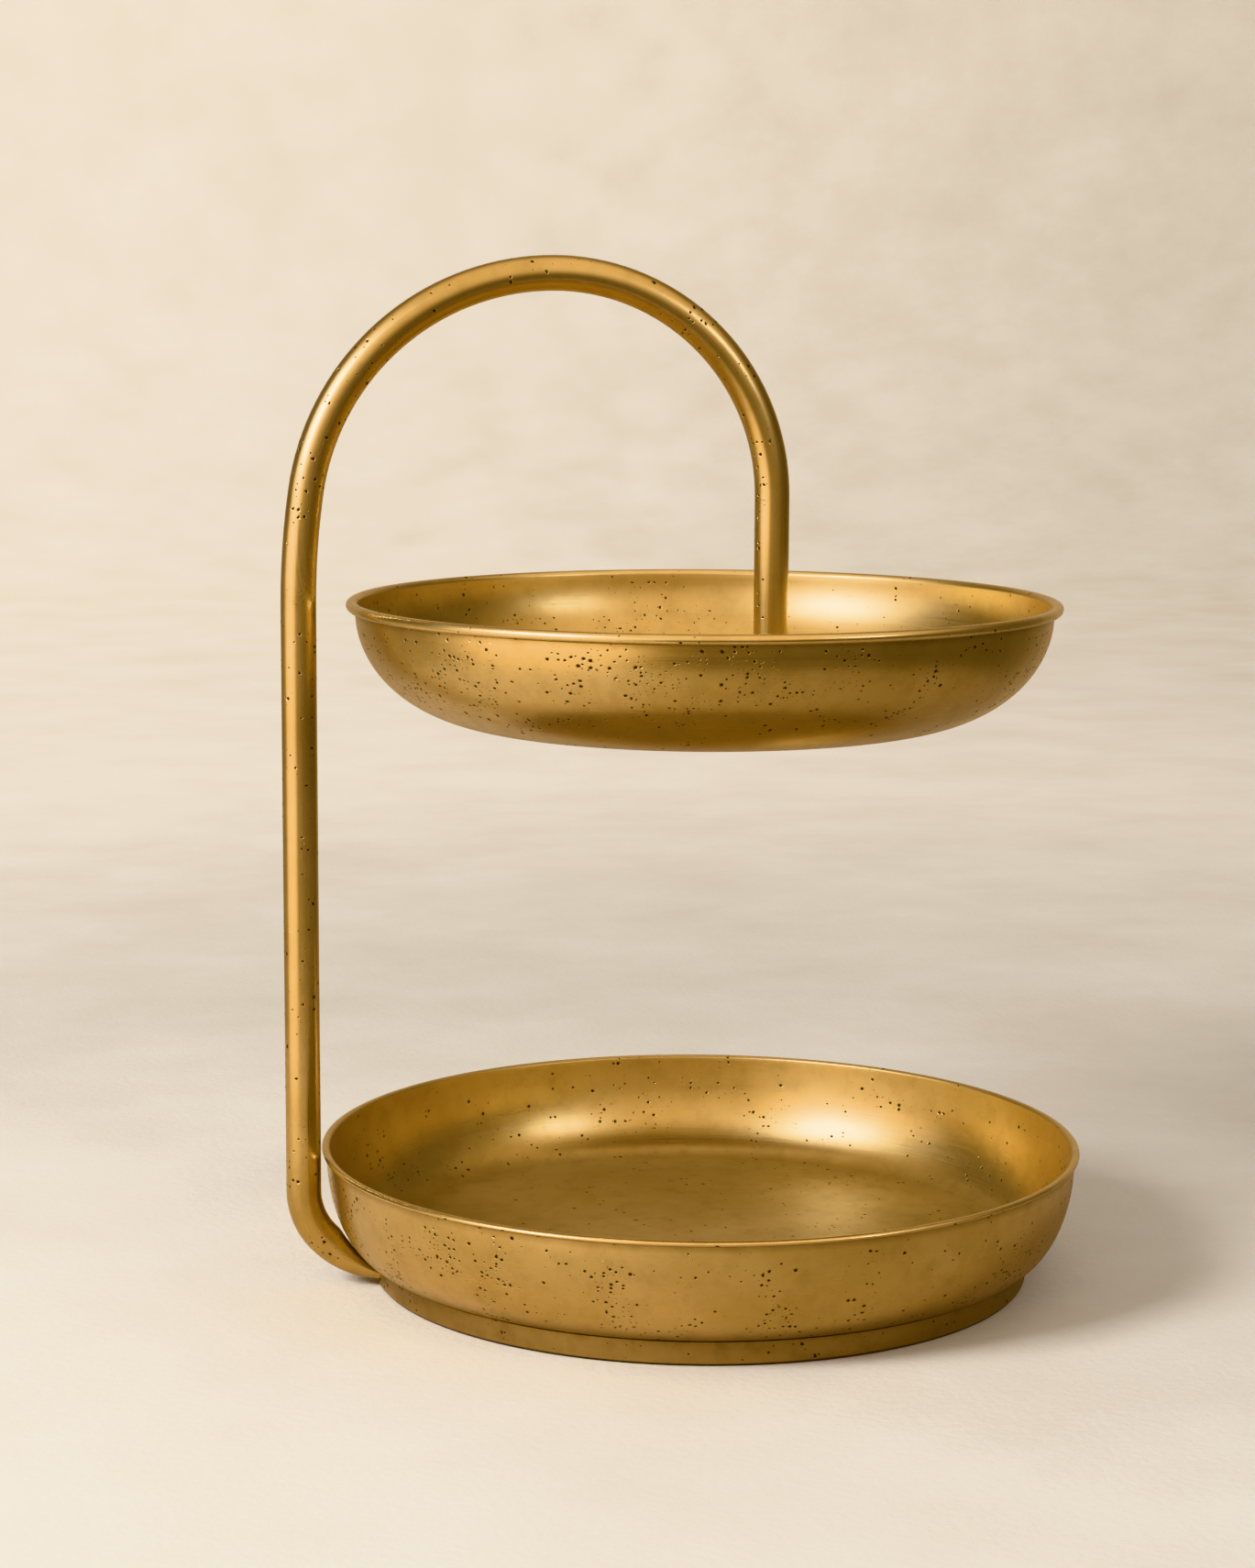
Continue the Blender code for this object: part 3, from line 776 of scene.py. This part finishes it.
hardwareValues = {
    "hole": 2.35 * mm,
    "shank": 2.0 * mm,
    "threadDepth": 0.3 * mm,
    "threadPitch": 0.7 * mm,
    "edge": 0.15 * mm,
    "studFlange": 1.6 * mm,
    "headHeight": 2.4 * mm,
    "keyWidth": 2.5 * mm,
    "keyDepth": 1.3 * mm,
    "nutChamfer": 0.35 * mm,
    "sides": 48,
}


# a screw thread in section, as rings from one height up to another
def threadOutline(low, high):
    values = hardwareValues
    root = values["shank"] - values["threadDepth"]
    turns = int((high - low) / values["threadPitch"])
    outline = []
    for i in range(turns):
        start = low + i * values["threadPitch"]
        outline += [(root, start), (values["shank"], start + 0.4 * values["threadPitch"]),
                    (values["shank"], start + 0.6 * values["threadPitch"])]
    return outline + [(root, low + turns * values["threadPitch"])]


def turnedPiece(node, outline, material, closed=False):
    piece = finishPiece(node + "_turned", spinOutline(outline, hardwareValues["sides"], closed), material,
                        nodeMiddle(node))
    place(piece, node)


def makeWasher(node, material):
    low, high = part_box(node)
    radius, hole, edge = (high.x - low.x) / 2, hardwareValues["hole"], hardwareValues["edge"]
    outline = [(hole, low.z + edge), (hole + edge, low.z), (radius - edge, low.z), (radius, low.z + edge),
               (radius, high.z - edge), (radius - edge, high.z), (hole + edge, high.z), (hole, high.z - edge)]
    turnedPiece(node, outline, material, closed=True)


def makeStud(node):
    low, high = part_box(node)
    radius, edge = (high.x - low.x) / 2, hardwareValues["edge"]
    flange = high.z - hardwareValues["studFlange"]
    neck = hardwareValues["shank"]
    outline = [(0, low.z), (neck - 0.5 * mm, low.z)] + threadOutline(low.z + 0.2 * mm, flange - 0.8 * mm)
    outline += [(neck, flange - 0.4 * mm), (neck, flange), (radius - edge, flange), (radius, flange + edge),
                (radius, high.z - edge), (radius - edge, high.z), (0, high.z)]
    turnedPiece(node, outline, turnedBrass)


# a thin nut: a hexagon with its corners turned off, bored through
def makeNut(node):
    low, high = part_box(node)
    at = nodeMiddle(node)
    flats = min(high.x - low.x, high.y - low.y) / 2
    corner = flats / math.cos(math.pi / 6)
    longWay = high.x - low.x > high.y - low.y
    body = upright(corner, low.z, high.z, Vector(), 6)
    turn = Matrix.Rotation(math.radians(30 if longWay else 0), 3, "Z")
    bmesh.ops.rotate(body, verts=body.verts, matrix=turn)
    nut = finishPiece(node + "_hexagon", body, zinc, at, 25)
    chamfer = hardwareValues["nutChamfer"]
    outline = [(0, low.z), (flats, low.z), (corner, low.z + chamfer), (corner, high.z - chamfer),
               (flats, high.z), (0, high.z)]
    shape = spinOutline(outline, hardwareValues["sides"])
    bmesh.ops.translate(shape, verts=shape.verts, vec=at)
    cutAway(nut, shape, "INTERSECT")
    cutAway(nut, upright(hardwareValues["hole"], low.z - mm, high.z + mm, at))
    place(nut, node)


def makeScrew(node):
    low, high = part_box(node)
    radius, edge = (high.x - low.x) / 2, 2 * hardwareValues["edge"]
    head = low.z + hardwareValues["headHeight"]
    shank = hardwareValues["shank"]
    outline = [(0, low.z), (radius - edge, low.z), (radius, low.z + edge), (radius, head), (shank, head)]
    outline += threadOutline(head + 0.6 * mm, high.z - 0.3 * mm)
    outline += [(shank - 0.6 * mm, high.z), (0, high.z)]
    bm = spinOutline(outline, hardwareValues["sides"])
    at = nodeMiddle(node)
    screw = finishPiece(node + "_socket_head", bm, zinc, at)
    key = hardwareValues["keyWidth"] / 2 / math.cos(math.pi / 6)
    cutAway(screw, upright(key, low.z - mm, low.z + hardwareValues["keyDepth"], at, 6))
    place(screw, node)


def makeFelt(node):
    low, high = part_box(node)
    radius, edge = (high.x - low.x) / 2, hardwareValues["edge"]
    inside = radius - footValues["feltWidth"]
    outline = [(inside, low.z), (radius, low.z), (radius, high.z - edge), (radius - edge, high.z),
               (inside + edge, high.z), (inside, high.z - edge)]
    ring = finishPiece("felt_ring", spinOutline(outline, 192, closed=True), felt, dishAxis)
    place(ring, node)


for number in ("1", "2"):
    makeStud("weld_stud_" + number)
    makeWasher("base_washer_" + number, zinc)
    makeNut("base_nut_" + number)
makeWasher("seat_washer", turnedBrass)
makeWasher("load_washer", turnedBrass)
makeScrew("dish_screw")
makeFelt("foot_felt_ring")
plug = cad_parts["hanging_end_plug"]
plug.data.materials.clear()
plug.data.materials.append(turnedBrass)
print("fasteners and felt made")


# stage

cameraValues = {
    "distance": 1.3743,       # from the dishes' axis
    "eyeHeight": 0.4031,
    "objectTurn": 11.9,       # how far round the stand the camera is, in degrees
    "heading": 1.27,          # how far it looks to the left of the axis
    "pitch": 8.36,            # and downwards
    "roll": 0.26,
    "lens": 78.69,            # on a 36 mm sensor
}


def viewHeading():
    return math.radians(cameraValues["heading"] - cameraValues["objectTurn"])


stageValues = {
    "floorRadius": 0.55,
    "coveStart": 3.0,
    "coveRadius": 1.2,
    "floorStep": 1.5,
    "wallTop": 1.5,
    "darkTone": "#e4dacb",
    "paleTone": "#efe7da",
    "cloudSize": 0.12,
    "grainSize": 4 * mm,
    "grainDepth": 1 * mm,
    "wash": 0.52,             # light thrown on the far wall
    "washStart": 0.55,         # metres from the stand
    "washFull": 1.4,
    "dimSide": 0.35,          # its share on the right
    "washBlend": 0.8,         # how far to the left and right it changes
    "roomGlow": 0.52,
    "roomTint": "#fbf6ef",
    "glossTint": "#ffdcae",
    "mirrorDim": 0.20,        # what reflections see where nothing glows
    # the glows that reflections see: the way to each (right, away from the camera, up), the cosines of the
    # angles from it where it starts and where it is full, and its strength
    "mirrorGlows": (
        ((0, 1, 0), 0.5, 1.0, 0.42),
        ((-0.8, -0.6, -0.08), 0.72, 1.0, 2.3),
        ((0, -0.5, 0.87), 0.25, 0.85, 1.15),
        ((-0.7, 0.2, -0.55), 0.72, 0.97, 0.4),
    ),
    "mirrorFloor": ("#e8cdab", "#c9b194"),      # the floor as reflections see it, left and right: warmer, and darker on the right as painted shade
    "mirrorBlend": 0.2,       # how far to the left and right it changes
}


# lime plaster, trowelled and matt: faint clouds of two pale tones and a fine grain. Far from the stand it
# glows as if lit by a lamp of its own, and reflections see it warmer and, as painted shade, darker on the
# right.
def makePlaster():
    values = stageValues
    material, tree, shader = newMaterial("pale_lime_plaster")
    position = addNode(tree, "ShaderNodeTexCoord").outputs["Object"]
    cloud = addNode(tree, "ShaderNodeTexNoise", {"Scale": 1 / values["cloudSize"], "Detail": 6.0,
                                                 "Roughness": 0.6}, {"Vector": position}).outputs["Fac"]
    tone = addNode(tree, "ShaderNodeMapRange", {"From Min": 0.3, "From Max": 0.7},
                   {"Value": cloud}).outputs[0]
    colour = addNode(tree, "ShaderNodeMix", {"data_type": "RGBA", 6: linear(values["darkTone"]),
                                             7: linear(values["paleTone"])}, {0: tone}).outputs[2]

    right = Matrix.Rotation(viewHeading(), 3, "Z") @ Vector((1, 0, 0))
    aside = addNode(tree, "ShaderNodeVectorMath", {"operation": "DOT_PRODUCT", 1: right}, {0: position})
    aside = aside.outputs["Value"]
    # painted shade in reflections: the floor they see darkens from left to right
    leftTint, rightTint = values["mirrorFloor"]
    share = addNode(tree, "ShaderNodeMapRange", {"From Min": -values["mirrorBlend"],
                                                 "From Max": values["mirrorBlend"]},
                    {"Value": aside}).outputs[0]
    mirrored = addNode(tree, "ShaderNodeMix", {"data_type": "RGBA", 6: linear(leftTint),
                                               7: linear(rightTint)}, {0: share}).outputs[2]
    glossy = addNode(tree, "ShaderNodeLightPath").outputs["Is Glossy Ray"]
    seen = addNode(tree, "ShaderNodeMix", {"data_type": "RGBA"},
                   {0: glossy, 6: colour, 7: mirrored}).outputs[2]
    tree.links.new(seen, shader.inputs["Base Color"])

    grain = addNode(tree, "ShaderNodeTexNoise", {"Scale": 1 / values["grainSize"], "Detail": 4.0},
                    {"Vector": position}).outputs["Fac"]
    bump = addNode(tree, "ShaderNodeBump", {"Strength": 0.35, "Distance": values["grainDepth"]},
                   {"Height": grain}).outputs[0]
    tree.links.new(bump, shader.inputs["Normal"])
    shader.inputs["Roughness"].default_value = 0.85

    far = addNode(tree, "ShaderNodeVectorMath", {"operation": "LENGTH"}, {0: position}).outputs["Value"]
    glow = addNode(tree, "ShaderNodeMapRange", {"From Min": values["washStart"],
                                                "From Max": values["washFull"],
                                                "To Max": values["wash"]}, {"Value": far}).outputs[0]
    side = addNode(tree, "ShaderNodeMapRange", {"From Min": -values["washBlend"],
                                                "From Max": values["washBlend"], "To Min": 1.0,
                                                "To Max": values["dimSide"]}, {"Value": aside}).outputs[0]
    glow = addNode(tree, "ShaderNodeMath", {"operation": "MULTIPLY"}, {0: glow, 1: side}).outputs[0]
    tree.links.new(glow, shader.inputs["Emission Strength"])
    tree.links.new(colour, shader.inputs["Emission Color"])
    return material


def makeStage():
    values = stageValues
    plaster = makePlaster()
    floor = finishPiece("studio_floor", spinOutline([(0, 0), (values["floorRadius"], 0)], 96), plaster)
    curve = arc((values["coveStart"], values["coveRadius"]), (values["coveRadius"],) * 2, -90, 0, 24)
    outline = [(values["floorRadius"], 0), (values["floorStep"], 0)] + curve
    outline.append((values["coveStart"] + values["coveRadius"], values["wallTop"]))
    cove = finishPiece("studio_cove", spinOutline(outline, 96), plaster)
    cove.visible_glossy = False      # the metal mirrors the room's glow instead


def makeCamera():
    data = bpy.data.cameras.new("camera")
    data.sensor_width = 36
    data.lens = cameraValues["lens"]
    camera = bpy.data.objects.new("camera", data)
    bpy.context.scene.collection.objects.link(camera)
    turn = math.radians(cameraValues["objectTurn"])
    eye = dishAxis + Vector((-math.sin(turn), -math.cos(turn), 0)) * cameraValues["distance"]
    eye.z = cameraValues["eyeHeight"]
    pitch = math.radians(90 - cameraValues["pitch"])
    roll = math.radians(cameraValues["roll"])
    camera.matrix_world = (Matrix.Translation(eye) @ Matrix.Rotation(viewHeading(), 4, "Z")
                           @ Matrix.Rotation(pitch, 4, "X") @ Matrix.Rotation(roll, 4, "Z"))
    bpy.context.scene.camera = camera


# softboxes: direction is (right, towards the camera, up) as the camera sees the stand
lightValues = {
    "key": {"direction": (-0.71, 0.53, 0.47), "distance": 1.4, "size": 0.48, "watts": 21, "tint": "#f8fbff"},
    "fill": {"direction": (0.75, 0.60, 0.45), "distance": 2.3, "size": 0.30, "watts": 5.0, "tint": "#fffdf8"},
}


def makeLights():
    aim = dishAxis + Vector((0, 0, 0.2))
    for name, values in lightValues.items():
        data = bpy.data.lights.new(name, "AREA")
        data.shape = "SQUARE"
        data.size = values["size"]
        data.energy = values["watts"]
        data.color = linear(values["tint"])[:3]
        light = bpy.data.objects.new(name, data)
        bpy.context.scene.collection.objects.link(light)
        right, near, up = values["direction"]
        way = Matrix.Rotation(viewHeading(), 3, "Z") @ Vector((right, -near, up)).normalized()
        light.visible_camera = False
        light.location = aim + way * values["distance"]
        light.rotation_euler = way.to_track_quat("Z", "Y").to_euler()


# the room's glow: even for everything but reflections, which see a dim side and a bright side
def makeWorld():
    values = stageValues
    world = bpy.data.worlds.new("studio")
    world.use_nodes = True
    tree = world.node_tree
    even = tree.nodes["Background"]
    even.inputs["Color"].default_value = linear(values["roomTint"])
    even.inputs["Strength"].default_value = values["roomGlow"]
    direction = addNode(tree, "ShaderNodeTexCoord").outputs["Generated"]
    glow = addNode(tree, "ShaderNodeValue")
    glow.outputs[0].default_value = values["mirrorDim"]
    glow = glow.outputs[0]
    for way, start, full, strength in values["mirrorGlows"]:
        way = Matrix.Rotation(viewHeading(), 3, "Z") @ Vector(way).normalized()
        facing = addNode(tree, "ShaderNodeVectorMath", {"operation": "DOT_PRODUCT", 1: way}, {0: direction})
        part = addNode(tree, "ShaderNodeMapRange", {"interpolation_type": "SMOOTHSTEP", "From Min": start,
                                                    "From Max": full, "To Max": strength},
                       {"Value": facing.outputs["Value"]}).outputs[0]
        glow = addNode(tree, "ShaderNodeMath", {"operation": "ADD"}, {0: glow, 1: part}).outputs[0]
    mirrored = addNode(tree, "ShaderNodeBackground", {"Color": linear(values["glossTint"])},
                       {"Strength": glow})
    glossy = addNode(tree, "ShaderNodeLightPath").outputs["Is Glossy Ray"]
    both = addNode(tree, "ShaderNodeMixShader", None, {0: glossy, 1: even.outputs[0], 2: mirrored.outputs[0]})
    tree.links.new(both.outputs[0], tree.nodes["World Output"].inputs["Surface"])
    bpy.context.scene.world = world


makeStage()
makeCamera()
makeLights()
makeWorld()
bpy.context.scene.view_settings.view_transform = "Khronos PBR Neutral"
print("stage made")
